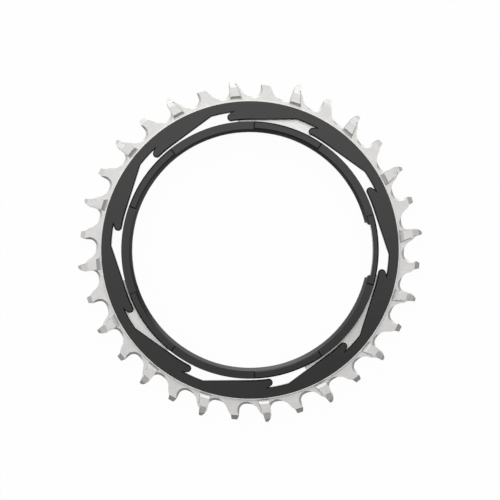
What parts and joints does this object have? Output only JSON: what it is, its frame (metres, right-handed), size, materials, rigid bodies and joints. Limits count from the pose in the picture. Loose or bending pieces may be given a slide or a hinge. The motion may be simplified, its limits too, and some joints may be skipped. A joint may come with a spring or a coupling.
{
  "type": "bicycle chainring",
  "caption": "Toothed bicycle chainring for a narrow chain, with alternating wide and narrow teeth, a hooked rim and a threaded central bore.",
  "frame": {"origin": "on the ring's axis, in the plane of the collar's back face that the ring lies on", "axes": "+Z along the axis, away from the bicycle, towards the raised pads; +X through the middle of the index notch in the bore; +Y up in the picture"},
  "size_m": [0.1368, 0.1368, 0.0068],
  "materials": {
    "machined_aluminium": "bare machined aluminium on the teeth and the tabs, black anodised on the rim and the collar"
  },
  "bodies": {
    "root": {"chainring": "machined_aluminium"}
  },
  "joints": []
}
